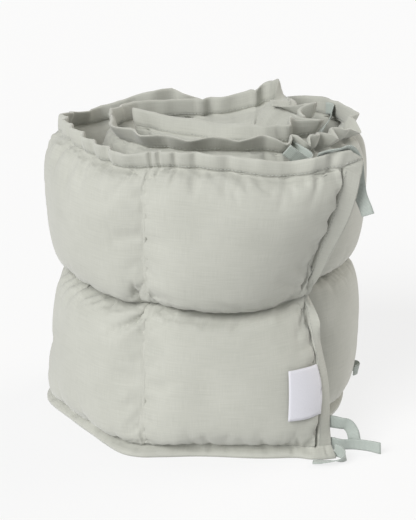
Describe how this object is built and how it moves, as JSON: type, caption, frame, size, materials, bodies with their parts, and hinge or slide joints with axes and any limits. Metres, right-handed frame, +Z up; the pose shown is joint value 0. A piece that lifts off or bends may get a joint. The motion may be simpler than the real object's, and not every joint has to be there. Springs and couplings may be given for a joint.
{
  "type": "crib bumper",
  "caption": "Padded, quilted crib bumper, rolled up and standing on its long edge, with a flat hem, ribbon ties and a bare sewn-in label.",
  "frame": {"origin": "middle of the whole object's footprint, on the surface it stands on", "axes": "+Z up, across the strip's width; -Y is the front, where the outer end and the label are; +X is to the right seen from the front"},
  "size_m": [0.333, 0.3124, 0.3225],
  "materials": {
    "quilted_cotton": "matt plain weave",
    "woven_ribbon": "fine cross rib, slight sheen",
    "label_cloth": "smooth satin tape"
  },
  "bodies": {
    "root": {"pad": "quilted_cotton", "tie_top": "woven_ribbon", "tie_front": "woven_ribbon", "tie_back": "woven_ribbon", "tie_foot_long": "woven_ribbon", "tie_foot_curled": "woven_ribbon", "tie_foot_folded": "woven_ribbon", "tie_side": "woven_ribbon", "label": "label_cloth"}
  },
  "joints": []
}
